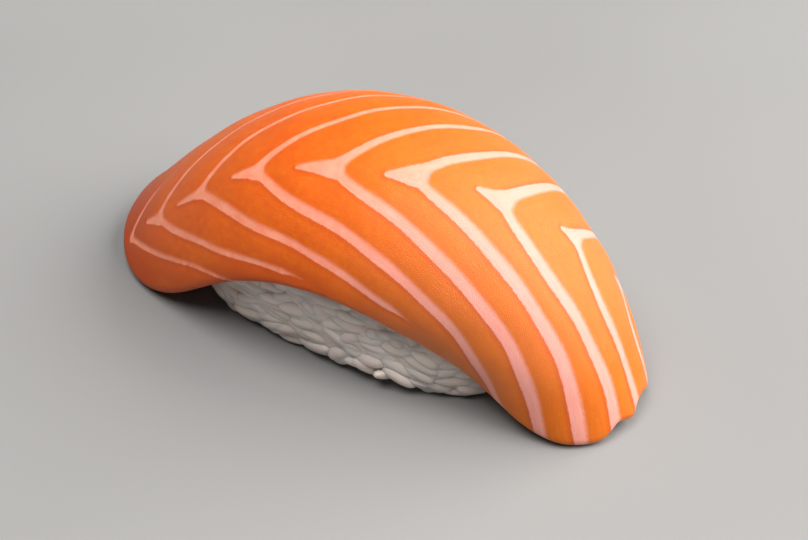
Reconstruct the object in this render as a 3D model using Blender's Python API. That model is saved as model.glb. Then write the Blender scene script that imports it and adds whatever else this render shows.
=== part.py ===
"""Salmon nigiri: a slice of raw salmon draped over a pressed block of sushi rice.

Metres, +Z up. X runs along the slice and Y across it. The origin is on the ground, under the middle of
the bounding box. A place on the slice is given as on the flat slice before it was draped: "along" is
measured down its length from the crown, "across" from its centre line, and "depth" in from its skin side.
"""
import math
import random

import bmesh
import bpy
import numpy as np

MM = 0.001
CLEARANCE = 0.3 * MM              # cut between the slice and the rice

# The slice as it is cut, flat
REACH_LEFT = 52.8 * MM            # from the crown to the blunt end
REACH_RIGHT = 51.1 * MM           # from the crown to the tapered end
HALF_WIDTH = 25.7 * MM
BLUNTNESS_LEFT = 4.3              # superellipse powers of the two ends
BLUNTNESS_RIGHT = 2.9
TIP_SKEW = -1.3 * MM              # how far the tapered end leans to the near edge
THICK_CROWN = 4.8 * MM
THICK_RIM = 2.4 * MM
THICK_SPREAD = 3.0                # how far the full thickness reaches towards the rim
SCALLOPS = (                      # across, depth and width of the notches between bands of muscle there
    (-1.7 * MM, 1.3 * MM, 1.9 * MM),
    (3.0 * MM, 1.35 * MM, 1.55 * MM),
    (4.9 * MM, 1.15 * MM, 1.5 * MM),
)
EDGE_WAVE = 0.22 * MM             # the knife's unevenness along the long edges
EDGE_WAVES = 5
EDGE_WAVE_START = 4.5             # radians

# How the slice lies
CROWN_X = 3.62 * MM               # the crown is off the middle of the bounding box
CROWN_Y = -0.14 * MM
CROWN_HEIGHT = 31.5 * MM
BEND_RADIUS = 37.6 * MM           # along the slice, at the crown
BEND_LEAN = 0.318 / (50 * MM)     # the bend tightens towards the tapered end
BEND_END_LEFT = 45.3 * MM         # where the slice has straightened again
BEND_END_RIGHT = 53.4 * MM
BEND_FADE = 4.1
TURN_STATION = 50 * MM            # where the left and right turns below are measured
TURN_LEFT = math.radians(103)     # how far the near long edge is turned down past level
TURN_CROWN = math.radians(88)
TURN_RIGHT = math.radians(171)
TURN_GROWTH = 1.14
FAR_TURN = 0.96                   # share of that turn at the far long edge, at the crown
FAR_TURN_LEAN = -0.05             # and how the share changes by TURN_STATION

# The block of rice
RICE_REACH_LEFT = 26.0 * MM       # where its top leaves the slice, along the slice
RICE_REACH_RIGHT = 22.5 * MM
RICE_TOP_BLUNTNESS = 7.0
RICE_TOP_GAP = 0.5 * MM           # its top lies this far under the slice
RICE_PAST_RIM = 1.0 * MM          # its top follows the slice's bend this far past the long edges
RICE_LIP = 1.2 * MM               # its sides drop straight this far before they swell
RICE_FOOT_CENTRE = -4.3 * MM      # from the crown
RICE_FOOT_HALF_LENGTH = 23.3 * MM
RICE_FOOT_HALF_WIDTH = 12.3 * MM
RICE_FOOT_BLUNTNESS_LEFT = 3.5
RICE_FOOT_BLUNTNESS_RIGHT = 2.4
RICE_BELLY = 1.3 * MM             # how far its sides swell between top and foot
RICE_FOOT_ROUND = 2.6 * MM
GRAIN_LENGTH = 6.0 * MM
GRAIN_WIDTH = 2.7 * MM
GRAIN_RELIEF = 0.9 * MM           # how far a grain stands out of the wall
GRAIN_TILT = math.radians(40)     # most a grain leans from level
GRAIN_CROWDING = 0.85             # spacing of grains over their size
GRAIN_SIZES = (0.85, 1.15)
GRAIN_SHIFT_ALONG = 0.25          # most a grain is off its place in the pattern, in spacings
GRAIN_SHIFT_UP = 0.3
GRAIN_SEED = 7
RELIEF_RISE = 0.2                 # share of the wall over which the relief comes in, below the lip
RELIEF_AT_FOOT = 0.15             # share of the relief that is left at the ground

# How finely the bodies are faceted
SALMON_AROUND = 104
SALMON_SKIN_RINGS = 12
SALMON_RIM_RINGS = 4
SALMON_UNDER_RINGS = 6
TIP_CROWDING = 1.6                # extra facets round the scalloped end
RICE_AROUND = 112
RICE_TOP_RINGS = 4
RICE_WALL_RINGS = 13
OUTLINE_SAMPLES = 4000
SPINE_REACH = 60 * MM
SPINE_SAMPLES = 961
ARC_STEPS = 24


def clear_scene():
    for item in list(bpy.data.objects):
        bpy.data.objects.remove(item, do_unlink=True)


def running_sum(values, step):
    """Trapezoid integral of values, starting from zero."""
    return np.concatenate([[0.0], np.cumsum((values[1:] + values[:-1]) / 2 * step)])


def bend_spine():
    """Centre line of the draped slice: arc length from the crown, x, z and upward angle."""
    along = np.linspace(-SPINE_REACH, SPINE_REACH, SPINE_SAMPLES)
    step = along[1] - along[0]
    bend_end = np.where(along < 0, BEND_END_LEFT, BEND_END_RIGHT)
    bend = (1 + BEND_LEAN * along) * (1 - np.abs(along / bend_end) ** BEND_FADE) / BEND_RADIUS
    angle = -running_sum(bend, step)
    angle -= np.interp(0, along, angle)
    x = running_sum(np.cos(angle), step)
    z = running_sum(np.sin(angle), step)
    return along, x - np.interp(0, along, x) + CROWN_X, z - np.interp(0, along, z) + CROWN_HEIGHT, angle


SPINE = bend_spine()


def edge_turn(along):
    """How far the slice would turn down at HALF_WIDTH on the near side of its centre line."""
    w = along / TURN_STATION
    slope = (TURN_RIGHT - TURN_LEFT) / 2
    growth = (TURN_RIGHT + TURN_LEFT) / 2 - TURN_CROWN
    return TURN_CROWN + slope * w + growth * w * w


def drape(along, across, depth):
    """Points of the draped slice for places on the flat one; the three arguments are arrays."""
    x, z, angle = (np.interp(along, SPINE[0], column) for column in SPINE[1:])
    turn = edge_turn(along) * np.where(across > 0, FAR_TURN + FAR_TURN_LEAN * along / TURN_STATION, 1.0)
    out = np.abs(across)
    fractions = (np.arange(ARC_STEPS) + 0.5) / ARC_STEPS
    lean = turn[:, None] * (out[:, None] * fractions / HALF_WIDTH) ** TURN_GROWTH
    rim_lean = turn * (out / HALF_WIDTH) ** TURN_GROWTH
    side = out * np.cos(lean).mean(axis=1) - depth * np.sin(rim_lean)
    drop = out * np.sin(lean).mean(axis=1) + depth * np.cos(rim_lean)
    y = CROWN_Y + np.sign(across) * side
    return np.stack([x + drop * np.sin(angle), y, z - drop * np.cos(angle)], axis=1)


def superellipse(phi, reach_left, reach_right, half_width, power_left, power_right):
    """Points of an oval whose two ends differ in length and bluntness."""
    c, s = np.cos(phi), np.sin(phi)
    left = c < 0
    power = 2 / np.where(left, power_left, power_right)
    reach = np.where(left, reach_left, reach_right)
    return np.stack([reach * np.sign(c) * np.abs(c) ** power, half_width * np.sign(s) * np.abs(s) ** power], 1)


def even_loop(loop, count, crowding=0.0):
    """The closed loop resampled to count points, evenly spaced but for any crowding along it."""
    closed = np.vstack([loop, loop[:1]])
    lengths = np.linalg.norm(np.diff(closed, axis=0), axis=1) * (1 + crowding)
    run = np.concatenate([[0.0], np.cumsum(lengths)])
    stations = np.arange(count) / count * run[-1]
    return np.stack([np.interp(stations, run, column) for column in closed.T], axis=1)


def loop_normals(loop):
    """Outward unit normals of a counter-clockwise plane loop."""
    tangent = np.roll(loop, -1, axis=0) - np.roll(loop, 1, axis=0)
    normal = np.stack([tangent[:, 1], -tangent[:, 0]], axis=1)
    return normal / np.linalg.norm(normal, axis=1, keepdims=True)


def slice_outline(count):
    """Outline of the flat slice: blunt on the left, tapered and scalloped on the right."""
    phi = np.linspace(0, 2 * math.pi, OUTLINE_SAMPLES, endpoint=False)
    loop = superellipse(phi, REACH_LEFT, REACH_RIGHT, HALF_WIDTH, BLUNTNESS_LEFT, BLUNTNESS_RIGHT)
    tip = np.clip(np.cos(phi), 0, 1) ** 2
    for place, depth, width in SCALLOPS:
        loop[:, 0] -= tip * depth * np.exp(-((loop[:, 1] - place) / width) ** 2)
    loop[:, 1] += EDGE_WAVE * np.sin(EDGE_WAVES * phi + EDGE_WAVE_START) * np.abs(np.sin(phi))
    loop[:, 1] += TIP_SKEW * np.clip(loop[:, 0] / REACH_RIGHT, 0, 1) ** 2
    return even_loop(loop, count, TIP_CROWDING * tip ** 2)


def thickness(along, across):
    """Thickness of the slice, full at the crown and thin at its rim."""
    reach = np.where(along < 0, REACH_LEFT, REACH_RIGHT)
    spread = np.clip(np.hypot(along / reach, across / HALF_WIDTH), 0, 1) ** THICK_SPREAD
    return THICK_CROWN + (THICK_RIM - THICK_CROWN) * spread


def body_from_rings(name, first, rings, last, material, parent):
    """A closed body: rings of equal count, one inside the next, with a single point at each end."""
    count = len(rings[0])
    bm = bmesh.new()
    start = bm.verts.new(first)
    rows = [[bm.verts.new(point) for point in ring] for ring in rings]
    end = bm.verts.new(last)
    for i in range(count):
        j = (i + 1) % count
        bm.faces.new((start, rows[0][i], rows[0][j]))
        bm.faces.new((end, rows[-1][j], rows[-1][i]))
        for upper, lower in zip(rows, rows[1:]):
            bm.faces.new((upper[i], lower[i], lower[j], upper[j]))
    bmesh.ops.recalc_face_normals(bm, faces=bm.faces)
    mesh = bpy.data.meshes.new(name)
    bm.to_mesh(mesh)
    bm.free()
    mesh.shade_smooth()
    if material:
        mesh.materials.append(material)
    body = bpy.data.objects.new(name, mesh)
    body.parent = parent
    bpy.context.collection.objects.link(body)
    return body


def food_material(name, colour, roughness, coat):
    material = bpy.data.materials.new(name)
    material.use_nodes = True
    shader = material.node_tree.nodes["Principled BSDF"]
    shader.inputs["Base Color"].default_value = (*colour, 1.0)
    shader.inputs["Roughness"].default_value = roughness
    shader.inputs["Metallic"].default_value = 0.0
    shader.inputs["Coat Weight"].default_value = coat
    return material


def slice_body(name, growth, material, parent):
    """The draped slice, grown all over: skin side, rounded rim and underside as one closed body."""
    outline = slice_outline(SALMON_AROUND)
    normals = loop_normals(outline)
    half_rim = THICK_RIM / 2

    def ring(inset, scale, share):
        """The outline drawn in, shrunk and sunk to a share of the thickness."""
        flat = (outline - normals * (inset - growth)) * scale
        along, across = flat[:, 0], flat[:, 1]
        return drape(along, across, thickness(along, across) * share + growth * (2 * share - 1))

    rings = [ring(half_rim, k / SALMON_SKIN_RINGS, 0.0) for k in range(1, SALMON_SKIN_RINGS + 1)]
    for k in range(1, SALMON_RIM_RINGS + 1):
        bow = math.pi * k / (SALMON_RIM_RINGS + 1)
        rings.append(ring(half_rim * (1 - math.sin(bow)), 1.0, (1 - math.cos(bow)) / 2))
    rings += [ring(half_rim, k / SALMON_UNDER_RINGS, 1.0) for k in range(SALMON_UNDER_RINGS, 0, -1)]
    centre = np.zeros(1)
    top = drape(centre, centre, centre - growth)[0]
    under = drape(centre, centre, centre + THICK_CROWN + growth)[0]
    return body_from_rings(name, top, rings, under, material, parent)


def make_salmon(parent):
    flesh = food_material("salmon_flesh", (0.90, 0.19, 0.035), 0.32, 0.5)
    return slice_body("salmon", 0.0, flesh, parent)


def cut_clear_of_slice(body, parent):
    """Carve the slice, grown by the clearance, out of a body that it lies on."""
    cutter = slice_body("slice_clearance", CLEARANCE, None, parent)
    cutter.hide_render = True
    cutter.display_type = "WIRE"
    cut = body.modifiers.new("clear_of_slice", "BOOLEAN")
    cut.operation = "DIFFERENCE"
    cut.solver = "EXACT"
    cut.object = cutter


def lay_grains(girth, height):
    """Places, lengths' directions and sizes of the grains pressed into the wall, row by row."""
    dice = random.Random(GRAIN_SEED)
    rows = int(round(height / (GRAIN_WIDTH * GRAIN_CROWDING)))
    columns = int(round(girth / (GRAIN_LENGTH * GRAIN_CROWDING)))
    grains = []
    for row in range(rows + 1):
        for column in range(columns):
            stagger = 0.5 * (row % 2)
            u = (column + stagger + dice.uniform(-GRAIN_SHIFT_ALONG, GRAIN_SHIFT_ALONG)) / columns * girth
            v = (row + dice.uniform(-GRAIN_SHIFT_UP, GRAIN_SHIFT_UP)) / rows * height
            grains.append((u, v, dice.uniform(-GRAIN_TILT, GRAIN_TILT), dice.uniform(*GRAIN_SIZES)))
    return grains


def grain_relief(u, v, grains, girth):
    """Height of the tallest grain at a place on the wall, from 0 to GRAIN_RELIEF."""
    tallest = 0.0
    for grain_u, grain_v, tilt, size in grains:
        du = (u - grain_u + girth / 2) % girth - girth / 2
        dv = v - grain_v
        a = (du * math.cos(tilt) + dv * math.sin(tilt)) / (GRAIN_LENGTH * size / 2)
        b = (dv * math.cos(tilt) - du * math.sin(tilt)) / (GRAIN_WIDTH * size / 2)
        tallest = max(tallest, 1 - a * a - b * b)
    return GRAIN_RELIEF * math.sqrt(tallest)


def rice_top(flat):
    """Places on the top of the rice, just under the slice."""
    along, across = flat[:, 0], flat[:, 1]
    return drape(along, across, thickness(along, across) + RICE_TOP_GAP)


def rice_wall_point(top, foot, normal, fall, relief):
    """A point of the wall between its top and its rounded foot, fall from 0 at the top to 1 at the ground."""
    height = top[2] * (1 - fall)
    free = max(0.0, top[2] - height - RICE_LIP) / (top[2] - RICE_LIP)
    spread = math.sin(math.pi / 2 * free)
    swell = RICE_BELLY * math.sin(math.pi * free)
    tuck = RICE_FOOT_ROUND - math.sqrt(max(RICE_FOOT_ROUND ** 2 - max(RICE_FOOT_ROUND - height, 0.0) ** 2, 0.0))
    fade = min(1.0, free / RELIEF_RISE) * min(1.0, height / RICE_FOOT_ROUND + RELIEF_AT_FOOT)
    out = swell - tuck + fade * relief
    level = top[:2] * (1 - spread) + foot * spread + normal * out
    return (level[0], level[1], height)


def make_rice(parent):
    """The block: its top follows the slice's underside, its wall is pressed grains, its foot is flat."""
    phi = np.linspace(0, 2 * math.pi, OUTLINE_SAMPLES, endpoint=False)
    across_reach = HALF_WIDTH + RICE_PAST_RIM
    brim = even_loop(superellipse(phi, RICE_REACH_LEFT, RICE_REACH_RIGHT, across_reach,
                                  RICE_TOP_BLUNTNESS, RICE_TOP_BLUNTNESS), RICE_AROUND)
    foot = even_loop(superellipse(phi, RICE_FOOT_HALF_LENGTH, RICE_FOOT_HALF_LENGTH, RICE_FOOT_HALF_WIDTH,
                                  RICE_FOOT_BLUNTNESS_LEFT, RICE_FOOT_BLUNTNESS_RIGHT), RICE_AROUND)
    normals = loop_normals(foot)
    foot += (CROWN_X + RICE_FOOT_CENTRE, CROWN_Y)
    rings = [rice_top(brim * k / RICE_TOP_RINGS) for k in range(1, RICE_TOP_RINGS + 1)]
    tops = rings[-1]
    girth = np.linalg.norm(np.roll(foot, -1, axis=0) - foot, axis=1).sum()
    grains = lay_grains(girth, tops[:, 2].max())
    for k in range(1, RICE_WALL_RINGS + 1):
        fall = k / RICE_WALL_RINGS
        ring = []
        for i in range(RICE_AROUND):
            u = i / RICE_AROUND * girth
            relief = grain_relief(u, tops[i][2] * (1 - fall), grains, girth)
            ring.append(rice_wall_point(tops[i], foot[i], normals[i], fall, relief))
        rings.append(np.array(ring))
    centre = np.zeros((1, 2))
    middle = (CROWN_X + RICE_FOOT_CENTRE, CROWN_Y, 0.0)
    white = food_material("sushi_rice", (0.80, 0.77, 0.70), 0.45, 0.2)
    rice = body_from_rings("rice", rice_top(centre)[0], rings, middle, white, parent)
    cut_clear_of_slice(rice, parent)
    return rice


def main():
    clear_scene()
    nigiri = bpy.data.objects.new("nigiri", None)
    bpy.context.collection.objects.link(nigiri)
    make_rice(nigiri)
    make_salmon(nigiri)


main()
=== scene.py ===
"""Looks of the salmon nigiri: the marbled slice and the grains of rice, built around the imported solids.

Lengths are in metres in the part's own frame, unless a comment says millimetres. A place on the slice is
given as on the flat slice before it was draped: "along" is measured down its length from the crown,
"across" from its centre line towards the far edge, and "depth" in from its skin side.
"""

import itertools
import math
import random
from collections import namedtuple

import bpy
import numpy as np
from mathutils import Matrix, Vector
from mathutils.bvhtree import BVHTree


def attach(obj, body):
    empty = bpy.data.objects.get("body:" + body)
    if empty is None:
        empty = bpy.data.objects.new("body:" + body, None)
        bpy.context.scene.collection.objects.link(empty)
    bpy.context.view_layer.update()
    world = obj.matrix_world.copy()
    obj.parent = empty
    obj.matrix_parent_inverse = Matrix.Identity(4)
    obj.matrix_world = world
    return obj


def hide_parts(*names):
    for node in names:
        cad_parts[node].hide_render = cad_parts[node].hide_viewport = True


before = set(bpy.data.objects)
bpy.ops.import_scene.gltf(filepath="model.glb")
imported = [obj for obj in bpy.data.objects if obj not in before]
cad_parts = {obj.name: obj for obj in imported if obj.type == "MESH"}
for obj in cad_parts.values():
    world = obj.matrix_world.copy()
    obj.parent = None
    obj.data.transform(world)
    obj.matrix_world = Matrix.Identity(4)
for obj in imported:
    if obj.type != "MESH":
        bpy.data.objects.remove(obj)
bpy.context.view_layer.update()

MM = 0.001

# The slice as it is cut, flat, and how it lies: the same values as its solid's
REACH_LEFT = 52.8 * MM
REACH_RIGHT = 51.1 * MM
HALF_WIDTH = 25.7 * MM
BLUNTNESS_LEFT = 4.3
BLUNTNESS_RIGHT = 2.9
TIP_SKEW = -1.3 * MM
THICK_CROWN = 4.8 * MM
THICK_RIM = 2.4 * MM
THICK_SPREAD = 3.0
SCALLOPS = (      # across, depth, width
    (-1.7 * MM, 1.3 * MM, 1.9 * MM),
    (3.0 * MM, 1.35 * MM, 1.55 * MM),
    (4.9 * MM, 1.15 * MM, 1.5 * MM),
)
EDGE_WAVE = 0.22 * MM
EDGE_WAVES = 5
EDGE_WAVE_START = 4.5
CROWN_X = 3.62 * MM
CROWN_Y = -0.14 * MM
CROWN_HEIGHT = 31.5 * MM
BEND_RADIUS = 37.6 * MM
BEND_LEAN = 0.318 / (50 * MM)
BEND_END_LEFT = 45.3 * MM
BEND_END_RIGHT = 53.4 * MM
BEND_FADE = 4.1
TURN_STATION = 50 * MM
TURN_LEFT = math.radians(103)
TURN_CROWN = math.radians(88)
TURN_RIGHT = math.radians(171)
TURN_GROWTH = 1.14
FAR_TURN = 0.96
FAR_TURN_LEAN = -0.05
SPINE_REACH = 60 * MM
SPINE_SAMPLES = 961
ARC_STEPS = 24

# The block of rice: the same values as its solid's
RICE_REACH_LEFT = 26.0 * MM
RICE_REACH_RIGHT = 22.5 * MM
RICE_TOP_BLUNTNESS = 7.0
RICE_TOP_GAP = 0.5 * MM
RICE_PAST_RIM = 1.0 * MM
RICE_LIP = 1.2 * MM
RICE_FOOT_CENTRE = -4.3 * MM
RICE_FOOT_HALF_LENGTH = 23.3 * MM
RICE_FOOT_HALF_WIDTH = 12.3 * MM
RICE_FOOT_BLUNTNESS_LEFT = 3.5
RICE_FOOT_BLUNTNESS_RIGHT = 2.4
RICE_BELLY = 1.3 * MM
RICE_FOOT_ROUND = 2.6 * MM

# Lines of fat between the bands of muscle, in millimetres on the flat slice. Each is a V that opens to
# the tapered end: its apex along and across; how far the near arm drops, over what length, its steady
# slope after that, and how far along it reaches; the far arm's lean, and how far across it reaches; half
# widths of near and far arm; the tail's length, slope, and half widths at its two ends. A near arm
# without width is left out, and then the far arm begins as a point.
FatLine = namedtuple("FatLine", "along across drop drop_length slope near_reach lean far_reach "
                     "near_half far_half tail tail_slope tail_root tail_tip")
FAT_LINES = (
    FatLine(-49.3, -12.2, 24.0, 34.0, 0.0, 99.0, 1.30, 4.5, 0.36, 0.24, 0.0, 0.0, 0.0, 0.0),
    FatLine(-40.0, -12.5, 12.6, 15.5, 0.0, 30.0, 1.25, 60.0, 0.50, 0.28, 4.0, -0.22, 0.70, 0.22),
    FatLine(-28.9, -12.3, 10.1, 17.0, 0.0, 41.0, 1.03, 60.0, 0.60, 0.34, 5.8, 0.0, 0.62, 0.16),
    FatLine(-17.3, -10.9, 4.7, 9.0, 0.055, 99.0, 0.88, 60.0, 0.62, 0.42, 4.8, 0.09, 0.95, 0.16),
    FatLine(-5.3, -8.6, 2.6, 6.0, 0.048, 99.0, 0.67, 60.0, 0.66, 0.50, 5.4, 0.18, 1.28, 0.18),
    FatLine(5.2, -5.0, 1.5, 2.6, 0.052, 99.0, 0.57, 60.0, 0.70, 0.60, 3.4, 0.50, 1.60, 0.40),
    FatLine(15.4, -0.8, 2.55, 2.8, 0.012, 99.0, 0.42, 60.0, 0.66, 0.66, 3.0, 0.30, 1.30, 0.32),
    FatLine(25.4, 3.8, 3.5, 5.5, -0.01, 99.0, 0.42, 60.0, 0.52, 0.50, 2.0, 0.40, 0.85, 0.25),
    FatLine(35.4, 8.2, 3.0, 2.6, -0.05, 99.0, 0.42, 60.0, 0.46, 0.44, 2.0, 0.30, 0.60, 0.22),
    FatLine(-31.0, 3.5, 0.0, 1.0, 0.0, 0.0, 0.95, 60.0, 0.0, 0.26, 0.0, 0.0, 0.0, 0.0),
    FatLine(43.2, 12.2, 3.0, 4.0, 0.0, 99.0, 0.40, 60.0, 0.40, 0.40, 1.5, 0.30, 0.50, 0.20),
)


# The draped slice

def running_sum(values, step):
    """Trapezoid integral of values, starting from zero."""
    return np.concatenate([[0.0], np.cumsum((values[1:] + values[:-1]) / 2 * step)])


def bend_spine():
    """Centre line of the draped slice: arc length from the crown, x, z and upward angle."""
    along = np.linspace(-SPINE_REACH, SPINE_REACH, SPINE_SAMPLES)
    step = along[1] - along[0]
    bend_end = np.where(along < 0, BEND_END_LEFT, BEND_END_RIGHT)
    bend = (1 + BEND_LEAN * along) * (1 - np.abs(along / bend_end) ** BEND_FADE) / BEND_RADIUS
    angle = -running_sum(bend, step)
    angle -= np.interp(0, along, angle)
    x = running_sum(np.cos(angle), step)
    z = running_sum(np.sin(angle), step)
    return along, x - np.interp(0, along, x) + CROWN_X, z - np.interp(0, along, z) + CROWN_HEIGHT, angle


SPINE = bend_spine()


def edge_turn(along):
    """How far the slice would turn down at HALF_WIDTH on the near side of its centre line."""
    w = along / TURN_STATION
    slope = (TURN_RIGHT - TURN_LEFT) / 2
    growth = (TURN_RIGHT + TURN_LEFT) / 2 - TURN_CROWN
    return TURN_CROWN + slope * w + growth * w * w


def drape(along, across, depth):
    """Points of the draped slice for places on the flat one; the three arguments are arrays."""
    x, z, angle = (np.interp(along, SPINE[0], column) for column in SPINE[1:])
    turn = edge_turn(along) * np.where(across > 0, FAR_TURN + FAR_TURN_LEAN * along / TURN_STATION, 1.0)
    out = np.abs(across)
    fractions = (np.arange(ARC_STEPS) + 0.5) / ARC_STEPS
    lean = turn[:, None] * (out[:, None] * fractions / HALF_WIDTH) ** TURN_GROWTH
    rim_lean = turn * (out / HALF_WIDTH) ** TURN_GROWTH
    side = out * np.cos(lean).mean(axis=1) - depth * np.sin(rim_lean)
    drop = out * np.sin(lean).mean(axis=1) + depth * np.cos(rim_lean)
    y = CROWN_Y + np.sign(across) * side
    return np.stack([x + drop * np.sin(angle), y, z - drop * np.cos(angle)], axis=1)


def thickness(along, across):
    """Thickness of the slice, full at the crown and thin at its rim."""
    reach = np.where(along < 0, REACH_LEFT, REACH_RIGHT)
    spread = np.clip(np.hypot(along / reach, across / HALF_WIDTH), 0, 1) ** THICK_SPREAD
    return THICK_CROWN + (THICK_RIM - THICK_CROWN) * spread


def rim_point(side_a, side_b):
    """Place on the slice's outline for a place on the edge of the square -1..1."""
    left = side_a < 0
    power = np.where(left, BLUNTNESS_LEFT, BLUNTNESS_RIGHT)
    reach = np.where(left, REACH_LEFT, REACH_RIGHT)
    size = (np.abs(side_a) ** power + np.abs(side_b) ** power) ** (-1 / power)
    along = side_a * size * reach
    across = side_b * size * HALF_WIDTH
    phi = np.arctan2(np.sign(side_b) * np.abs(side_b * size) ** (power / 2),
                     np.sign(side_a) * np.abs(side_a * size) ** (power / 2))
    tip = np.clip(np.cos(phi), 0, 1) ** 2
    straight = across
    for place, depth, width in SCALLOPS:
        along = along - tip * depth * np.exp(-((straight - place) / width) ** 2)
    across = across + EDGE_WAVE * np.sin(EDGE_WAVES * phi + EDGE_WAVE_START) * np.abs(np.sin(phi))
    across = across + TIP_SKEW * np.clip(along / REACH_RIGHT, 0, 1) ** 2
    return np.stack([along, across], axis=1)


def square_edge(q):
    """Place on the edge of the square for a distance q, 0..8, anticlockwise from its middle right."""
    q = np.mod(q, 8.0)
    corner = np.array([0.0, 1.0, 3.0, 5.0, 7.0, 8.0])
    return np.stack([np.interp(q, corner, [1.0, 1.0, -1.0, -1.0, 1.0, 1.0]),
                     np.interp(q, corner, [0.0, 1.0, 1.0, -1.0, -1.0, 0.0])], axis=1)


def edge_distance(side_a, side_b):
    """The q of square_edge for a place on the edge of the square."""
    right = side_a >= np.abs(side_b)
    top = ~right & (side_b >= np.abs(side_a))
    left = ~right & ~top & (-side_a >= np.abs(side_b))
    q = np.where(top, 2 - side_a, np.where(left, 4 - side_b, 6 + side_a))
    return np.where(right, np.mod(side_b, 8.0), q)


def outline(q, inset):
    """Outline of the flat slice at q, drawn in by inset."""
    step = 0.01
    place = rim_point(*square_edge(q).T)
    tangent = rim_point(*square_edge(q + step).T) - rim_point(*square_edge(q - step).T)
    normal = np.stack([tangent[:, 1], -tangent[:, 0]], axis=1)
    normal /= np.linalg.norm(normal, axis=1, keepdims=True)
    return place - normal * np.reshape(inset, (-1, 1))


# Lines of fat, in millimetres on the flat slice
NEAR_ARM = 100         # longest near arm
FAR_ARM = 42           # longest far arm
ARM_STEP = 0.35        # between the centre points of an arm
TAIL_POINTS = 25
FAR_CORNER = 1.3       # how roundly the far arm leaves the apex
NEAR_START = 0.78      # share of its half width that a near arm has at the apex
NEAR_FULL_AFTER = 8    # where it has all of it
NEAR_SWELL = 0.16      # share that it gains from 14 on, over another 26
EDGE_THINNING = 0.5    # share that it loses on the turned-down edge, from 15 across, over 8
NEAR_END = 1.5         # share that it loses past its reach, over 8
FAR_FULL = 1.05        # share of its half width that a far arm has near the apex
FAR_SWELL = 0.5        # share that it has more right at the apex, fading over 3
FAR_THINNING = 0.35    # share that it loses over its first 22
FAR_END = 2.5          # share that it loses past its reach, over 4
FAR_POINT = 1.5        # share that it lacks at the apex when it begins as a point, made up over 9
STROKE_PIECE = 16      # centre points looked at together
STROKE_REACH = 4.0     # how far a line of fat is felt
FAT_BLEND = 0.30       # how roundly arms run into each other


def way_along(value, start, length):
    """How far a value has come from start towards start + length, 0 to 1."""
    return np.clip((value - start) / length, 0, 1)


def near_arm(line):
    """Centre points and half widths of the arm that runs along the near edge to the tapered end."""
    x = np.arange(0, NEAR_ARM, ARM_STEP)
    drop = line.drop * (1 - np.exp(-x / line.drop_length)) + line.slope * x
    points = np.stack([line.along + x, line.across - drop], axis=1)
    grow = NEAR_START + (1 - NEAR_START) * way_along(x, 0, NEAR_FULL_AFTER)
    grow += NEAR_SWELL * way_along(x, 14, 26)
    grow *= 1 - EDGE_THINNING * way_along(-points[:, 1], 15, 8)
    grow -= NEAR_END * way_along(x, line.near_reach, 8)
    return points, line.near_half * grow


def far_arm(line):
    """Centre points and half widths of the arm that runs over the slice to its far edge."""
    y = np.arange(0, FAR_ARM, ARM_STEP)
    lean = line.lean * (np.hypot(y, FAR_CORNER) - FAR_CORNER)
    points = np.stack([line.along + lean, line.across + y], axis=1)
    grow = FAR_FULL + FAR_SWELL * np.exp(-y / 3.0) - FAR_THINNING * way_along(y, 0, 22)
    grow -= FAR_END * way_along(y, line.far_reach, 4)
    if not line.near_half:
        grow -= FAR_POINT * (1 - way_along(y, 0, 9))
    return points, line.far_half * grow


def tail_arm(line):
    """Centre points and half widths of the pointed tail at the apex."""
    share = np.linspace(0, 1, TAIL_POINTS)
    back = line.tail * share
    points = np.stack([line.along - back, line.across - line.tail_slope * back], axis=1)
    return points, line.tail_root + (line.tail_tip - line.tail_root) * share


def fat_strokes():
    """Centre points and half widths of every arm and tail of the lines of fat."""
    strokes = []
    for line in FAT_LINES:
        if line.near_half:
            strokes.append(near_arm(line))
        strokes.append(far_arm(line))
        if line.tail:
            strokes.append(tail_arm(line))
    return strokes


def wobble(flat):
    """Unevenness of the lines: a smooth shift in millimetres for places in millimetres."""
    a, b = flat[:, 0], flat[:, 1]
    shift_a = 0.16 * np.sin(0.21 * a + 0.33 * b + 1.1) + 0.05 * np.sin(0.63 * b - 0.31 * a + 2.0)
    shift_b = 0.14 * np.sin(0.23 * a - 0.29 * b) + 0.05 * np.sin(0.57 * a + 0.5 * b + 0.7)
    return np.stack([shift_a, shift_b], axis=1)


def fat_distance(flat):
    """Distance in millimetres from each place to the edge of the nearest line of fat, negative inside it."""
    places = flat + wobble(flat)
    least = math.exp(-STROKE_REACH / FAT_BLEND)
    total = np.full(len(places), least)
    for centres, halves in fat_strokes():
        nearest = np.full(len(places), STROKE_REACH)
        for start in range(0, len(centres) - 1, STROKE_PIECE):
            part = centres[start:start + STROKE_PIECE + 1]
            half = halves[start:start + STROKE_PIECE + 1]
            low, high = part.min(axis=0) - STROKE_REACH, part.max(axis=0) + STROKE_REACH
            close = np.nonzero(np.all((places > low) & (places < high), axis=1))[0]
            leg = part[1:] - part[:-1]
            gap = places[close][:, None, :] - part[None, :-1, :]
            share = np.clip((gap * leg).sum(axis=2) / (leg ** 2).sum(axis=1), 0, 1)
            gap -= share[:, :, None] * leg
            reach = np.sqrt((gap ** 2).sum(axis=2)) - half[:-1] - share * (half[1:] - half[:-1])
            nearest[close] = np.minimum(nearest[close], reach.min(axis=1))
        total += np.exp(-nearest / FAT_BLEND) - least
    return -FAT_BLEND * np.log(total)


def mesh_object(name, points, faces, material):
    """A smooth mesh object from arrays of points and faces."""
    mesh = bpy.data.meshes.new(name)
    mesh.from_pydata(points.tolist(), [], faces)
    mesh.update()
    mesh.shade_smooth()
    mesh.materials.append(material)
    item = bpy.data.objects.new(name, mesh)
    bpy.context.scene.collection.objects.link(item)
    return item


def set_float(item, name, values):
    """A number for each point of a piece."""
    item.data.attributes.new(name, "FLOAT", "POINT").data.foreach_set("value", np.asarray(values, np.float32))


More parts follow.
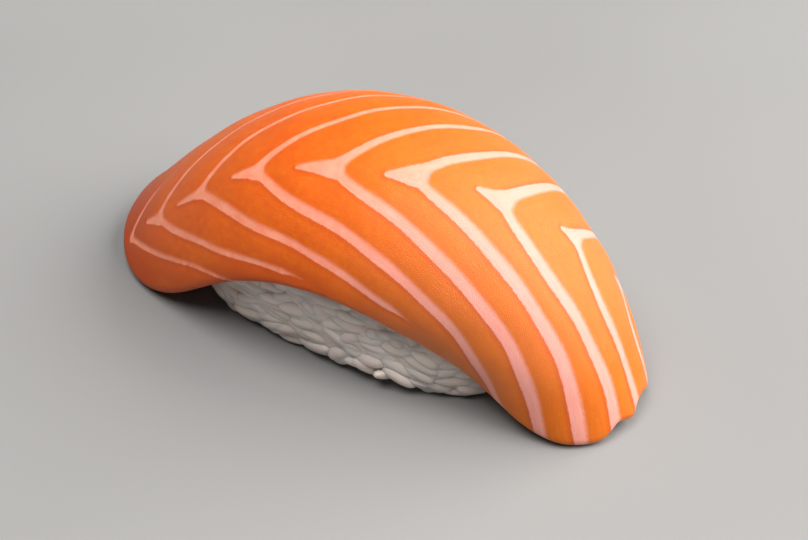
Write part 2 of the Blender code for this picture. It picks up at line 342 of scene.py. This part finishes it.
def set_vector(item, name, values):
    """A vector for each point of a piece."""
    data = item.data.attributes.new(name, "FLOAT_VECTOR", "POINT").data
    data.foreach_set("vector", np.asarray(values, np.float32).ravel())


# How finely the slice is made
CELLS_ALONG = 330
CELLS_ACROSS = 168
RIM_RINGS = 8
UNDER_RINGS = 12

# Relief of its skin, in millimetres
BAND_BULGE = 0.10      # how far the flesh swells between lines of fat
BAND_SHOULDER = 1.1    # how far from a line it takes to swell
RIPPLE = 0.05          # slow unevenness
SIDE_STEP = 0.25       # how far apart the distances are taken that tell one side of a line from the other
SLANT = 0.9            # how far the lines of fat shift along for each unit of depth


def slice_rows():
    """Flat place and depth of every vertex of the slice, how far through it is, 0..1, and the faces."""
    sides_a, sides_b = np.linspace(-1, 1, CELLS_ALONG + 1), np.linspace(-1, 1, CELLS_ACROSS + 1)
    a, b = (side.ravel() for side in np.meshgrid(sides_a, sides_b, indexing="ij"))
    ring = np.maximum(np.abs(a), np.abs(b))
    safe = np.maximum(ring, 1e-9)
    half_rim = THICK_RIM / 2
    flat = [outline(edge_distance(a / safe, b / safe), half_rim) * ring[:, None]]
    depth = [np.zeros(len(a))]
    share = [np.zeros(len(a))]
    columns = CELLS_ACROSS + 1
    faces = []
    for i in range(CELLS_ALONG):
        for j in range(CELLS_ACROSS):
            k = i * columns + j
            faces.append((k, k + columns, k + columns + 1, k + 1))
    loop = [i * columns for i in range(CELLS_ALONG)]
    loop += [CELLS_ALONG * columns + j for j in range(CELLS_ACROSS)]
    loop += [i * columns + CELLS_ACROSS for i in range(CELLS_ALONG, 0, -1)]
    loop += [j for j in range(CELLS_ACROSS, 0, -1)]
    count = len(loop)
    q = edge_distance(a[loop], b[loop])
    total = len(a)
    previous = loop
    rows = []      # inset, scale and how far through, for each ring round the rim and under the slice
    for k in range(1, RIM_RINGS + 1):
        bow = math.pi * k / (RIM_RINGS + 1)
        rows.append((half_rim * (1 - math.sin(bow)), 1.0, (1 - math.cos(bow)) / 2))
    rows += [(half_rim, k / UNDER_RINGS, 1.0) for k in range(UNDER_RINGS, 0, -1)]
    for inset, scale, sunk in rows:
        place = outline(q, inset) * scale
        flat.append(place)
        depth.append(thickness(place[:, 0], place[:, 1]) * sunk)
        share.append(np.full(count, sunk))
        row = list(range(total, total + count))
        for i in range(count):
            j = (i + 1) % count
            faces.append((previous[j], previous[i], row[i], row[j]))
        previous = row
        total += count
    flat.append(np.zeros((1, 2)))
    depth.append(np.array([THICK_CROWN]))
    share.append(np.ones(1))
    for i in range(count):
        faces.append((previous[(i + 1) % count], previous[i], total))
    return np.vstack(flat), np.concatenate(depth), np.concatenate(share), faces


def make_slice(material):
    """The marbled slice, with what its material needs stored on its points."""
    flat, depth, share, faces = slice_rows()
    pattern = flat / MM
    pattern[:, 0] -= SLANT * depth / MM
    distance = fat_distance(pattern)
    step = np.array([SIDE_STEP, SIDE_STEP])
    side = (fat_distance(pattern + step) - fat_distance(pattern - step)) / (2 * np.linalg.norm(step))
    bulge = BAND_BULGE * (1 - np.exp(-np.maximum(distance, 0) / BAND_SHOULDER))
    a, b = pattern[:, 0], pattern[:, 1]
    ripple = RIPPLE * np.sin(a * 0.55 + 0.4 * np.sin(b * 0.3)) * np.sin(b * 0.41)
    out = (bulge + ripple) * MM
    points = drape(flat[:, 0], flat[:, 1], depth - out * (1 - 2 * share))
    item = mesh_object("salmon_slice", points, faces, material)
    set_float(item, "fat", distance)
    set_float(item, "side", side)
    set_float(item, "sunk", share)
    set_vector(item, "flat", np.column_stack([flat / MM, depth / MM]))
    return item


# The block of rice

RICE_AROUND = 720            # points of each loop round the block
RICE_OUTLINE_SAMPLES = 4000  # points that they are picked from


def superellipse(phi, reach_left, reach_right, half_width, power_left, power_right):
    """Points of an oval whose two ends differ in length and bluntness."""
    c, s = np.cos(phi), np.sin(phi)
    power = 2 / np.where(c < 0, power_left, power_right)
    x = np.where(c < 0, reach_left, reach_right) * np.sign(c) * np.abs(c) ** power
    y = half_width * np.sign(s) * np.abs(s) ** power
    return np.stack([x, y], axis=1)


def even_loop(loop, count):
    """The same closed loop with its points evenly spaced."""
    closed = np.vstack([loop, loop[:1]])
    run = np.concatenate([[0.0], np.cumsum(np.linalg.norm(np.diff(closed, axis=0), axis=1))])
    stations = np.arange(count) / count * run[-1]
    return np.stack([np.interp(stations, run, column) for column in closed.T], axis=1)


def loop_normals(loop):
    """Outward directions of an anticlockwise loop."""
    tangent = np.roll(loop, -1, axis=0) - np.roll(loop, 1, axis=0)
    normal = np.stack([tangent[:, 1], -tangent[:, 0]], axis=1)
    return normal / np.linalg.norm(normal, axis=1, keepdims=True)


def rice_loops():
    """Brim, flat and draped, foot, outward foot directions and girth, evenly round the block."""
    phi = np.linspace(0, 2 * math.pi, RICE_OUTLINE_SAMPLES, endpoint=False)
    brim = superellipse(phi, RICE_REACH_LEFT, RICE_REACH_RIGHT, HALF_WIDTH + RICE_PAST_RIM,
                        RICE_TOP_BLUNTNESS, RICE_TOP_BLUNTNESS)
    brim = even_loop(brim, RICE_AROUND)
    foot = superellipse(phi, RICE_FOOT_HALF_LENGTH, RICE_FOOT_HALF_LENGTH, RICE_FOOT_HALF_WIDTH,
                        RICE_FOOT_BLUNTNESS_LEFT, RICE_FOOT_BLUNTNESS_RIGHT)
    foot = even_loop(foot, RICE_AROUND)
    normals = loop_normals(foot)
    girth = np.linalg.norm(np.roll(foot, -1, axis=0) - foot, axis=1).sum()
    foot += (CROWN_X + RICE_FOOT_CENTRE, CROWN_Y)
    tops = drape(brim[:, 0], brim[:, 1], thickness(brim[:, 0], brim[:, 1]) + RICE_TOP_GAP)
    return brim, tops, foot, normals, girth


BRIM, TOPS, FOOT, FOOT_NORMALS, GIRTH = rice_loops()


def round_value(table, u):
    """Rows of a table that runs round the block, at shares u of the way round."""
    at = np.mod(u, 1.0) * RICE_AROUND
    low = np.floor(at).astype(int) % RICE_AROUND
    mix = (at - np.floor(at))[:, None]
    return table[low] * (1 - mix) + table[(low + 1) % RICE_AROUND] * mix


def wall(u, height, out):
    """Points of the rice's wall at shares u of the way round and heights; out pushes them outwards."""
    top, foot, normal = round_value(TOPS, u), round_value(FOOT, u), round_value(FOOT_NORMALS, u)
    lip = top[:, 2] - RICE_LIP
    free = np.clip(lip - height, 0, None) / lip
    spread = np.sin(math.pi / 2 * free)[:, None]
    swell = RICE_BELLY * np.sin(math.pi * free)
    low = np.clip(RICE_FOOT_ROUND - height, 0, RICE_FOOT_ROUND)
    tuck = RICE_FOOT_ROUND - np.sqrt(RICE_FOOT_ROUND ** 2 - low ** 2)
    level = top[:, :2] * (1 - spread) + foot[:, :2] * spread + normal * (swell - tuck + out)[:, None]
    return np.column_stack([level, height])


# The core under the grains
CORE_AROUND = 240
CORE_UP = 36
CORE_CAPS = 14             # rings that close it above, and as many below
CORE_OUT = -0.20 * MM      # from the solid's wall, before its lumps
CORE_FLOOR = 0.7 * MM      # height of its underside
CORE_TOP_GAP = 0.9 * MM    # under the slice
CORE_TOP_SHARE = 0.95      # how far towards the brim its top goes


def make_core(material):
    """The block under the grains: smaller than the solid, with a lumpy skin."""
    u = np.arange(CORE_AROUND) / CORE_AROUND
    top_height = round_value(TOPS, u)[:, 2] - CORE_TOP_GAP
    rows = []
    for k in range(1, CORE_CAPS):
        flat = round_value(BRIM, u) * (k / CORE_CAPS * CORE_TOP_SHARE)
        rows.append(drape(flat[:, 0], flat[:, 1], thickness(flat[:, 0], flat[:, 1]) + CORE_TOP_GAP))
    for k in range(CORE_UP + 1):
        height = top_height + (CORE_FLOOR - top_height) * k / CORE_UP
        lump = 0.12 * np.sin(u * 2 * math.pi * 23 + 2.1 * np.sin(height / MM * 1.3))
        lump += 0.10 * np.sin(u * 2 * math.pi * 41 + height / MM * 2.3)
        rows.append(wall(u, height, CORE_OUT + lump * MM))
    lowest = rows[-1]
    middle = lowest[:, :2].mean(axis=0)
    for k in range(CORE_CAPS - 1, 0, -1):
        level = lowest.copy()
        level[:, :2] = middle + (level[:, :2] - middle) * k / CORE_CAPS
        rows.append(level)
    faces = []
    last_row = (len(rows) - 1) * CORE_AROUND
    for row in range(0, last_row, CORE_AROUND):
        for i in range(CORE_AROUND):
            j = (i + 1) % CORE_AROUND
            faces.append((row + i, row + CORE_AROUND + i, row + CORE_AROUND + j, row + j))
    top = last_row + CORE_AROUND
    for i in range(CORE_AROUND):
        j = (i + 1) % CORE_AROUND
        faces.append((top, i, j))
        faces.append((top + 1, last_row + j, last_row + i))
    crown = drape(np.zeros(1), np.zeros(1), np.array([THICK_CROWN + CORE_TOP_GAP]))
    centre = np.array([[CROWN_X + RICE_FOOT_CENTRE, CROWN_Y, CORE_FLOOR]])
    return mesh_object("rice_core", np.vstack(rows + [crown, centre]), faces, material)


# The grains
GRAIN_LENGTH = 6.0 * MM
GRAIN_WIDTH = 2.7 * MM
GRAIN_SEED = 7
GRAIN_SEGMENTS = 12
GRAIN_RINGS = 10

# How they lie on the wall
GRAIN_LAYERS = 2
ROW_HEIGHT = 0.78                    # in grain widths
COLUMN_WIDTH = 0.80                  # in grain lengths
ROW_START = 0.42                     # height of the first row, in rows
JITTER = 0.3                         # in rows and columns
LOW_ROWS = 2                         # rows near the foot, where they lie more unevenly
LOW_TILT = math.radians(40) / 1.4    # spread of how far they turn up or down the wall
HIGH_TILT = math.radians(40) / 2.0
LOW_NOD = 1.7                        # how much more the low ones point outwards or inwards
SINK = 0.80                          # mm, how deep their middles lie in the wall
LAYER_SINK = 0.12                    # mm, how much deeper the second layer lies
SINK_SPREAD = 0.10                   # mm
LOW_LIFT = 0.4                       # mm, how much less deep the low ones may lie
LEAST_SINK = 0.5                     # mm
GRAIN_TOP_GAP = 0.4 * MM             # between their middles and the brim
GRAIN_LOWEST = 0.9 * MM              # height of the lowest middles

# How they lie on the underside, in rings
FOOT_RINGS = (0.78, 0.58, 0.40, 0.22, 0.06)    # shares of the foot's size
FOOT_COUNT = 22                                # grains that a ring of share 1 would have
FOOT_RING_TURN = 0.37                          # share of a turn from ring to ring
FOOT_SINK = 0.9 * MM

# How they keep clear of the slice and of the ground
GRAIN_TRIES = 9
RETREAT = 0.25                       # mm inwards and down for each try
SLICE_GAP = 0.12 * MM
GROUND_GAP = 0.03 * MM


def grain_shape(dice, length, width):
    """Points of one cooked grain, lying along x."""
    bend = dice.uniform(-0.10, 0.10)
    thin = dice.uniform(0.60, 0.76)
    taper = dice.uniform(-0.16, 0.16)
    groove = dice.uniform(0.0, 0.05)
    twist = dice.uniform(-0.3, 0.3)
    points = [(-length / 2, 0.0, 0.0)]
    for r in range(1, GRAIN_RINGS):
        x = -math.cos(math.pi * r / GRAIN_RINGS)
        radius = width / 2 * (1 - abs(x) ** 2.5) ** 0.5 * (1 + taper * x)
        for s in range(GRAIN_SEGMENTS):
            turn = 2 * math.pi * s / GRAIN_SEGMENTS + twist * x
            dent = 1 - groove * math.cos(2 * turn)
            points.append((x * length / 2, radius * math.cos(turn) * dent + bend * width * (1 - x * x),
                           radius * thin * math.sin(turn) * dent))
    points.append((length / 2, 0.0, 0.0))
    return np.array(points)


def grain_faces():
    """Faces of every grain."""
    last = 1 + (GRAIN_RINGS - 1) * GRAIN_SEGMENTS
    faces = []
    for s in range(GRAIN_SEGMENTS):
        n = (s + 1) % GRAIN_SEGMENTS
        faces.append((0, 1 + n, 1 + s))
        faces.append((last, last - GRAIN_SEGMENTS + s, last - GRAIN_SEGMENTS + n))
        for r in range(GRAIN_RINGS - 2):
            low = 1 + r * GRAIN_SEGMENTS
            high = low + GRAIN_SEGMENTS
            faces.append((low + s, low + n, high + n, high + s))
    return faces


def wall_frame(u, height):
    """Point, direction round the block, direction up the wall and outward direction at one place on it."""
    step = 0.002
    rise = 0.3 * MM
    shares = np.array([u, u + step, u - step, u, u])
    heights = np.array([height, height, height, height + rise, max(height - rise, 0.05 * MM)])
    places = wall(shares, heights, 0.0)
    round_way = Vector(places[1] - places[2]).normalized()
    up_way = Vector(places[3] - places[4]).normalized()
    out_way = round_way.cross(up_way).normalized()
    return Vector(places[0]), round_way, up_way, out_way


def wall_grains(dice):
    """Where grains lie on the wall: point, the way each lies, outward way, size and sink."""
    tallest = TOPS[:, 2].max()
    rows = int(round(tallest / (GRAIN_WIDTH * ROW_HEIGHT)))
    columns = int(round(GIRTH / (GRAIN_LENGTH * COLUMN_WIDTH)))
    spots = []
    for layer, row, column in itertools.product(range(GRAIN_LAYERS), range(rows + 1), range(columns)):
        low = row < LOW_ROWS
        u = (column + 0.5 * ((row + layer) % 2) + dice.uniform(-JITTER, JITTER)) / columns
        height = (row + ROW_START + 0.5 * layer + dice.uniform(-JITTER, JITTER)) / rows * tallest
        tilt = dice.gauss(0.0, LOW_TILT if low else HIGH_TILT)
        size = dice.uniform(0.85, 1.15)
        if height > round_value(TOPS, np.array([u]))[0, 2] - GRAIN_TOP_GAP:
            continue
        point, round_way, up_way, out_way = wall_frame(u, max(height, GRAIN_LOWEST))
        nod = dice.uniform(-0.14, 0.08) * (LOW_NOD if low else 1.0)
        way = round_way * math.cos(tilt) + up_way * math.sin(tilt) + out_way * nod
        sink = (SINK + LAYER_SINK * layer + dice.uniform(-SINK_SPREAD, SINK_SPREAD)) * MM
        if low:
            sink = max(sink - dice.uniform(0.0, LOW_LIFT) * MM, LEAST_SINK * MM)
        spots.append((point, way.normalized(), out_way, size, sink))
    return spots


def foot_grains(dice):
    """Where grains lie on the underside, as wall_grains says it."""
    middle = Vector((CROWN_X + RICE_FOOT_CENTRE, CROWN_Y, 0))
    spots = []
    for ring, share in enumerate(FOOT_RINGS):
        count = max(2, int(round(FOOT_COUNT * share)))
        for k in range(count):
            u = (k + dice.uniform(-0.25, 0.25)) / count + FOOT_RING_TURN * ring
            edge = Vector(round_value(FOOT, np.array([u]))[0].tolist() + [0.0])
            turn = dice.uniform(0, math.pi)
            way = Vector((math.cos(turn), math.sin(turn), dice.uniform(-0.08, 0.08)))
            size = dice.uniform(0.85, 1.15)
            point = middle + (edge - middle) * share
            spots.append((point, way.normalized(), Vector((0, 0, -1)), size, FOOT_SINK))
    return spots


def clear_of_slice(body, tree):
    """Whether no point of a grain is in the slice or nearly touches it, going by every third point."""
    for point in body[::3]:
        found, normal, _, gap = tree.find_nearest(Vector(point))
        if gap < SLICE_GAP or (Vector(point) - found).dot(normal) < 0:
            return False
    return True


def fit_grain(body, out_way, tree):
    """The grain off the ground, and moved in and down until it is clear of the slice; None if it never is."""
    for _ in range(GRAIN_TRIES):
        body[:, 2] += max(0.0, GROUND_GAP - body[:, 2].min())
        if clear_of_slice(body, tree):
            return body
        body = body - np.array(out_way) * RETREAT * MM - np.array((0, 0, RETREAT * MM))
    return None


def make_grains(material, tree):
    """The grains as one mesh, clear of the slice and of the ground; one that can't be is left out."""
    spot_dice = random.Random(GRAIN_SEED)
    dice = random.Random(GRAIN_SEED + 1)
    shape_faces = grain_faces()
    points = []
    faces = []
    tones = []
    total = 0
    for place, way, out_way, size, sink in wall_grains(spot_dice) + foot_grains(spot_dice):
        side_way = out_way.cross(way).normalized()
        face_way = way.cross(side_way).normalized()
        length = GRAIN_LENGTH * size * dice.uniform(0.9, 1.08)
        width = GRAIN_WIDTH * dice.uniform(0.9, 1.1)
        shape = grain_shape(dice, length, width)
        roll = dice.uniform(-0.5, 0.5)
        tone = dice.uniform(0, 1)
        axes = np.array([way, side_way * math.cos(roll) + face_way * math.sin(roll),
                         face_way * math.cos(roll) - side_way * math.sin(roll)])
        body = fit_grain(shape @ axes + np.array(place - out_way * sink), out_way, tree)
        if body is None:
            continue
        points.append(body)
        faces += [tuple(total + i for i in face) for face in shape_faces]
        tones += [tone] * len(body)
        total += len(body)
    item = mesh_object("rice_grains", np.vstack(points), faces, material)
    set_float(item, "tone", tones)
    return item


# Materials

class Graph:
    """Short ways to add and join shader nodes of one material."""

    def __init__(self, name):
        self.material = bpy.data.materials.new(name)
        self.material.use_nodes = True
        self.tree = self.material.node_tree
        self.shader = self.tree.nodes["Principled BSDF"]

    def node(self, kind, **settings):
        """A new node with these settings."""
        made = self.tree.nodes.new("ShaderNode" + kind)
        for key, value in settings.items():
            setattr(made, key, value)
        return made

    def put(self, socket, value):
        """A link or a number for an input; None leaves it alone."""
        if isinstance(value, bpy.types.NodeSocket):
            self.tree.links.new(value, socket)
        elif value is not None:
            socket.default_value = value

    def attribute(self, name, output="Fac"):
        """What a mesh stores on its points under this name."""
        return self.node("Attribute", attribute_name=name).outputs[output]

    def separate(self, vector, part=0):
        """One part of a vector: 0 along, 1 across, 2 depth."""
        made = self.node("SeparateXYZ")
        self.put(made.inputs[0], vector)
        return made.outputs[part]

    def math(self, operation, a, b=None, c=None):
        """What an operation makes of its numbers."""
        made = self.node("Math", operation=operation)
        for socket, value in zip(made.inputs, (a, b, c)):
            self.put(socket, value)
        return made.outputs[0]

    def ramp(self, value, low, high, to_low=0.0, to_high=1.0):
        """The value carried smoothly from low..high to to_low..to_high, and held beyond."""
        made = self.node("MapRange", interpolation_type="SMOOTHSTEP")
        for socket, number in zip(made.inputs, (value, low, high, to_low, to_high)):
            self.put(socket, number)
        return made.outputs[0]

    def mix(self, share, first, second):
        """The first colour with a share of the second."""
        made = self.node("Mix", data_type="RGBA", blend_type="MIX")
        self.put(made.inputs[0], share)
        self.put(made.inputs[6], first)
        self.put(made.inputs[7], second)
        return made.outputs[2]

    def noise(self, place, scale, detail=2.0, stretch=None, roughness=0.5):
        """Cloudy numbers around 0.5."""
        if stretch:
            mapping = self.node("Mapping")
            self.put(mapping.inputs["Vector"], place)
            mapping.inputs["Scale"].default_value = stretch
            place = mapping.outputs[0]
        made = self.node("TexNoise")
        self.put(made.inputs["Vector"], place)
        made.inputs["Scale"].default_value = scale
        made.inputs["Detail"].default_value = detail
        made.inputs["Roughness"].default_value = roughness
        return made.outputs[0]

    def bump(self, height, distance, strength, before=None):
        """A surface direction with this relief, on top of an earlier one."""
        made = self.node("Bump")
        made.inputs["Strength"].default_value = strength
        made.inputs["Distance"].default_value = distance
        self.put(made.inputs["Height"], height)
        self.put(made.inputs["Normal"], before)
        return made.outputs[0]

    def set(self, **values):
        """Numbers or links for the inputs of the surface itself."""
        for key, value in values.items():
            self.put(self.shader.inputs[key.replace("_", " ")], value)


# Colours of the flesh, with painted light, painted shade and painted shadow among them
ORANGE = (0.68, 0.090, 0.001, 1)
ORANGE_CLOUDS = (0.74, 0.112, 0.001, 1)
ORANGE_PAINTED_LIGHT = (0.74, 0.172, 0.001, 1)
ORANGE_MOTTLE = (0.79, 0.165, 0.002, 1)
ORANGE_FIBRE = (0.86, 0.24, 0.008, 1)
ORANGE_STRAND = (0.88, 0.25, 0.010, 1)
RED_STRAND = (0.60, 0.100, 0.001, 1)
RED_END_PAINTED_SHADE = (0.44, 0.048, 0.001, 1)
RED_SIDE_PAINTED_SHADE = (0.52, 0.060, 0.001, 1)
RED_BORDER_PAINTED_SHADOW = (0.57, 0.066, 0.001, 1)

# Colours of the fat and of the cut rim, with a painted sheen and a painted rim light among them
PINK = (0.94, 0.29, 0.17, 1)
PINK_CLOUDS = (0.96, 0.36, 0.23, 1)
FAT_PAINTED_SHEEN = (0.95, 0.40, 0.335, 1)
RIM_MEMBRANE_AND_LIGHT = (0.98, 0.60, 0.44, 1)

# Colours of the rice, darker and pinker than plain cooked rice as painted shade and painted bounce light from
# the slice, and of the floor
RICE_PAINTED_SHADE = (0.67, 0.56, 0.50, 1)
RICE_PALE_PAINTED_SHADE = (0.73, 0.625, 0.56, 1)
RICE_CLOUDS_PAINTED_SHADE = (0.76, 0.68, 0.62, 1)
FLOOR = (0.20, 0.198, 0.195, 1)
FLOOR_CLOUDS = (0.22, 0.218, 0.214, 1)


def flesh_material():
    """Orange flesh with its fibre, the lines of fat, and the pale cut rim of the tapered end, with painted
    light, shade, sheen and rim light.
    """
    g = Graph("salmon_flesh_marbled")
    flat = g.attribute("flat", "Vector")
    fat = g.attribute("fat")
    side = g.attribute("side")
    sunk = g.attribute("sunk")
    along = g.separate(flat)
    rightward = g.ramp(along, -20.0, 30.0)

    # Distance to the lines of fat, made ragged; they are crisp on one side and fade out on the other
    ragged = g.math("MULTIPLY_ADD", g.noise(flat, 1.5, 3.0), 0.30, -0.15)
    fine = g.math("MULTIPLY_ADD", g.noise(flat, 5.0, 2.0), 0.16, -0.08)
    edge = g.math("ADD", g.math("ADD", fat, ragged), fine)
    soft = g.ramp(side, -0.6, 0.8, 0.14, 0.50)
    line = g.ramp(edge, g.math("MULTIPLY", soft, -0.6), soft, 1.0, 0.0)

    # Clouds and mottle, and painted light that makes the flesh brighter and yellower to the right
    orange = g.mix(g.ramp(g.noise(flat, 0.085, 2.0), 0.35, 0.65), ORANGE, ORANGE_CLOUDS)
    orange = g.mix(g.math("MULTIPLY", rightward, 0.75), orange, ORANGE_PAINTED_LIGHT)
    mottle = g.noise(flat, 0.75, 4.0, roughness=0.6)
    orange = g.mix(g.ramp(mottle, 0.35, 0.75, 0.0, 0.45), orange, ORANGE_MOTTLE)

    # Fibre, and strands that follow the lines of fat
    grain = g.node("CombineXYZ")
    g.put(grain.inputs[0], fat)
    g.put(grain.inputs[1], along)
    strand = g.noise(grain.outputs[0], 1.0, 4.0, stretch=(4.2, 0.30, 1.0), roughness=0.7)
    fibre = g.noise(flat, 1.0, 4.0, stretch=(2.6, 0.9, 1.0), roughness=0.65)
    orange = g.mix(g.ramp(fibre, 0.48, 0.70, 0.0, 0.25), orange, ORANGE_FIBRE)
    orange = g.mix(g.ramp(strand, 0.50, 0.72, 0.0, 0.38), orange, RED_STRAND)
    orange = g.mix(g.ramp(strand, 0.28, 0.46, 0.30, 0.0), orange, ORANGE_STRAND)

    # Painted shade: darker at the blunt end and on the turned-down sides at the left, and a painted shadow on
    # one side of the lines of fat
    orange = g.mix(g.ramp(along, -54.0, -34.0, 0.95, 0.0), orange, RED_END_PAINTED_SHADE)
    # Painted shade on the turned-down sides, fading out towards the right
    shaded_side = g.ramp(g.math("ABSOLUTE", g.separate(flat, 1)), 20.5, 24.5, 0.0, 0.6)
    orange = g.mix(g.math("MULTIPLY", shaded_side, g.math("SUBTRACT", 1.0, rightward)), orange, RED_SIDE_PAINTED_SHADE)
    # Painted shadow on one side of each line of fat
    shadow_border = g.math("MULTIPLY", g.ramp(edge, 0.1, 0.9, 1.0, 0.0), g.ramp(side, -0.6, 0.2, 0.6, 0.0))
    orange = g.mix(shadow_border, orange, RED_BORDER_PAINTED_SHADOW)

    # The fat, pink to the left and paler to the right, where a painted sheen whitens it
    pink = g.mix(g.ramp(g.noise(flat, 0.6, 3.0), 0.3, 0.7), PINK, PINK_CLOUDS)
    fat_and_painted_sheen = g.mix(rightward, pink, FAT_PAINTED_SHEEN)
    milky = g.ramp(strand, 0.35, 0.65, 0.80, 0.97)
    colour = g.mix(g.math("MULTIPLY", line, milky), orange, fat_and_painted_sheen)

    # The cut rim of the tapered end, without the underside: paler for its thin membrane, and partly a painted
    # rim light
    rim = g.math("MULTIPLY", g.ramp(along, 26.0, 40.0), g.ramp(sunk, 0.80, 0.98, 1.0, 0.0))
    cut = g.math("MULTIPLY", g.ramp(sunk, 0.03, 0.30), rim)
    colour = g.mix(g.math("MULTIPLY", cut, 0.75), colour, RIM_MEMBRANE_AND_LIGHT)

    # Fine relief, and a wet sheen that is strongest right of the crown
    normal = g.bump(strand, 0.00010, 0.5)
    normal = g.bump(g.noise(flat, 6.5, 3.0, roughness=0.7), 0.00020, 0.9, normal)
    wet = g.math("SUBTRACT", g.ramp(along, -5.0, 20.0, 0.34, 0.92), g.ramp(along, 33.0, 46.0, 0.0, 0.55))
    g.set(Base_Color=colour, Roughness=0.34, Subsurface_Weight=0.3, Subsurface_Scale=0.0020,
          Specular_IOR_Level=wet, Coat_Weight=0.06, Coat_Roughness=0.34, IOR=1.38, Normal=normal)
    g.shader.inputs["Subsurface Radius"].default_value = (1.0, 0.38, 0.16)
    return g.material


def rice_material():
    """Cooked rice: milky, slightly moist, each grain with a tone of its own, and darker and pinker than plain
    cooked rice as painted shade and painted orange light bounced from the slice.
    """
    g = Graph("sushi_rice_cooked")
    place = g.node("TexCoord").outputs["Object"]
    clouds = g.noise(place, 420.0, 3.0)
    # Painted shade and painted bounce light are in every rice colour
    shaded_rice = g.mix(g.attribute("tone"), RICE_PAINTED_SHADE, RICE_PALE_PAINTED_SHADE)
    shaded_rice = g.mix(g.ramp(clouds, 0.4, 0.7, 0.0, 0.35), shaded_rice, RICE_CLOUDS_PAINTED_SHADE)
    normal = g.bump(g.noise(place, 1400.0, 3.0), 0.00006, 0.4)
    normal = g.bump(clouds, 0.00015, 0.3, normal)
    g.set(Base_Color=shaded_rice, Roughness=0.42, Subsurface_Weight=0.35, Subsurface_Scale=0.0012,
          Coat_Weight=0.15, Coat_Roughness=0.3, IOR=1.37, Normal=normal)
    g.shader.inputs["Subsurface Radius"].default_value = (1.0, 0.65, 0.5)
    return g.material


def floor_material():
    """A plain grey with hardly visible clouds."""
    g = Graph("floor_pale")
    place = g.node("TexCoord").outputs["Object"]
    grey = g.mix(g.ramp(g.noise(place, 9.0, 2.0), 0.3, 0.7), FLOOR, FLOOR_CLOUDS)
    g.set(Base_Color=grey, Roughness=0.7)
    return g.material


# Scene

CAMERA_AZIMUTH = math.radians(33.72)
CAMERA_ELEVATION = math.radians(41.27)
CAMERA_DISTANCE = 302.0 * MM
CAMERA_TARGET = Vector((1.12, 3.53, 5.02)) * MM
CAMERA_LENS = 100.0

# Name, azimuth and elevation in degrees, distance and size in metres, watts, colour
LIGHTS = (
    ("key", 98, 48, 0.75, 0.45, 4.4, (1.0, 0.985, 0.96)),
    ("rim", 142, 34, 0.75, 0.80, 10.0, (1.0, 0.98, 0.95)),
    ("top", 0, 73, 0.9, 0.6, 9.6, (1.0, 0.99, 0.98)),
)
WORLD_COLOUR = (0.97, 0.98, 1.0, 1)
WORLD_STRENGTH = 0.09
FLOOR_REACH = 1.5      # metres from the middle to each side


def look_from(azimuth, elevation, distance, target):
    """A matrix at distance from target that looks at it."""
    back = Vector((math.sin(azimuth) * math.cos(elevation), -math.cos(azimuth) * math.cos(elevation),
                   math.sin(elevation)))
    right = Vector((math.cos(azimuth), math.sin(azimuth), 0))
    up = back.cross(right)
    turn = Matrix((right, up, back)).transposed()
    return Matrix.Translation(target + back * distance) @ turn.to_4x4()


def add_camera():
    """The camera, where the photo was taken from."""
    data = bpy.data.cameras.new("camera")
    data.lens = CAMERA_LENS
    data.sensor_width = 36.0
    data.clip_start = 0.01
    camera = bpy.data.objects.new("camera", data)
    bpy.context.scene.collection.objects.link(camera)
    camera.matrix_world = look_from(CAMERA_AZIMUTH, CAMERA_ELEVATION, CAMERA_DISTANCE, CAMERA_TARGET)
    bpy.context.scene.camera = camera


def add_light(name, azimuth, elevation, distance, size, power, colour):
    """A round soft light that looks at the camera's target."""
    data = bpy.data.lights.new(name, "AREA")
    data.shape = "DISK"
    data.size = size
    data.energy = power
    data.color = colour
    light = bpy.data.objects.new(name, data)
    bpy.context.scene.collection.objects.link(light)
    light.matrix_world = look_from(math.radians(azimuth), math.radians(elevation), distance, CAMERA_TARGET)


def add_studio():
    """The lights, a faint light from all round, and the floor."""
    for light in LIGHTS:
        add_light(*light)
    world = bpy.data.worlds.new("studio")
    world.use_nodes = True
    background = world.node_tree.nodes["Background"]
    background.inputs["Color"].default_value = WORLD_COLOUR
    background.inputs["Strength"].default_value = WORLD_STRENGTH
    bpy.context.scene.world = world
    reach = FLOOR_REACH
    points = np.array([(-reach, -reach, 0), (reach, -reach, 0), (reach, reach, 0), (-reach, reach, 0)])
    floor = mesh_object("floor", points, [(0, 1, 2, 3)], floor_material())


def main():
    """The three pieces, what each replaces and is made of, and the photo's view of them."""
    salmon = make_slice(flesh_material())
    rice = rice_material()
    core = make_core(rice)
    mesh = salmon.data
    tree = BVHTree.FromPolygons([v.co[:] for v in mesh.vertices], [p.vertices[:] for p in mesh.polygons])
    grains = make_grains(rice, tree)
    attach(salmon, "root")
    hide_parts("salmon")
    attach(core, "root")
    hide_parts("rice")
    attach(grains, "root")
    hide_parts("rice")
    add_camera()
    add_studio()
    bpy.context.scene.view_settings.view_transform = "Standard"


main()
